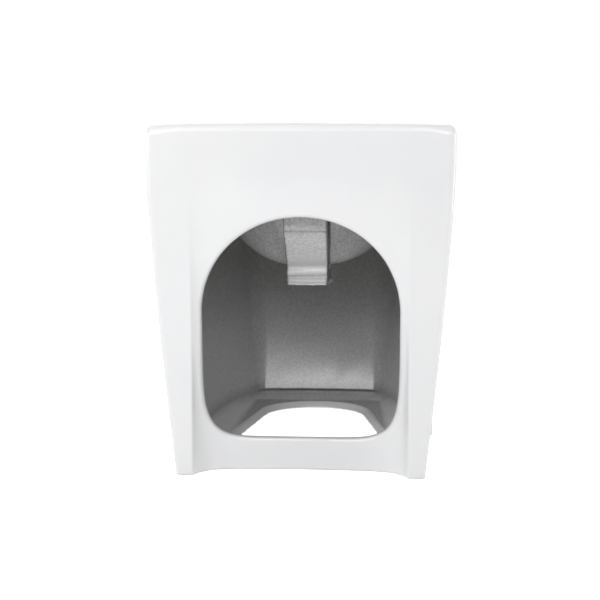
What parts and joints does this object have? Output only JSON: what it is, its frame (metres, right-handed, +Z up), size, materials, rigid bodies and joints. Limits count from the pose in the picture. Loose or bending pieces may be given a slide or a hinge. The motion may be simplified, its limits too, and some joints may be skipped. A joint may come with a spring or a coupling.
{
  "type": "bidet",
  "caption": "Floor-standing back-to-wall bidet in glazed ceramic, hollow and open at the back, with its hidden floor fixings.",
  "frame": {"origin": "middle of the box's underside, on the floor: half way between the wall plane and the rim's front", "axes": "+Z up, +Y towards the wall that the back stands against, +X to the right seen from the front"},
  "size_m": [0.35, 0.54, 0.4],
  "materials": {
    "glazed_ceramic": "white gloss glaze",
    "raw_ceramic": "thin grey-white glaze over rough cast ceramic",
    "chrome": "polished",
    "bracket_nylon": "moulded, fine grain",
    "bush_nylon": "moulded, smooth",
    "zinc_steel": "zinc plated",
    "cap_plastic": "gloss"
  },
  "bodies": {
    "ceramic": {"rim_deck": "glazed_ceramic", "bowl": "glazed_ceramic", "body_shell": "glazed_ceramic", "rear_panel": "glazed_ceramic", "foot_flange": "raw_ceramic", "overflow_duct": "raw_ceramic", "waste_boss": "raw_ceramic", "bracket_left": "bracket_nylon", "bracket_right": "bracket_nylon", "side_bushes": "bush_nylon", "side_screws": "zinc_steel", "side_nuts": "zinc_steel"},
    "overflow_ring": {"overflow_cover": "chrome"},
    "left_cap": {"cap_left": "cap_plastic"},
    "right_cap": {"cap_right": "cap_plastic"}
  },
  "joints": [
    {"name": "overflow_ring_pull", "type": "slide", "parent": "ceramic", "child": "overflow_ring", "axis": [0, -1, 0], "range_m": [0, 0.02]},
    {"name": "left_cap_pull", "type": "slide", "parent": "ceramic", "child": "left_cap", "axis": [-1, 0, 0], "range_m": [0, 0.015]},
    {"name": "right_cap_pull", "type": "slide", "parent": "ceramic", "child": "right_cap", "axis": [1, 0, 0], "range_m": [0, 0.015]}
  ]
}
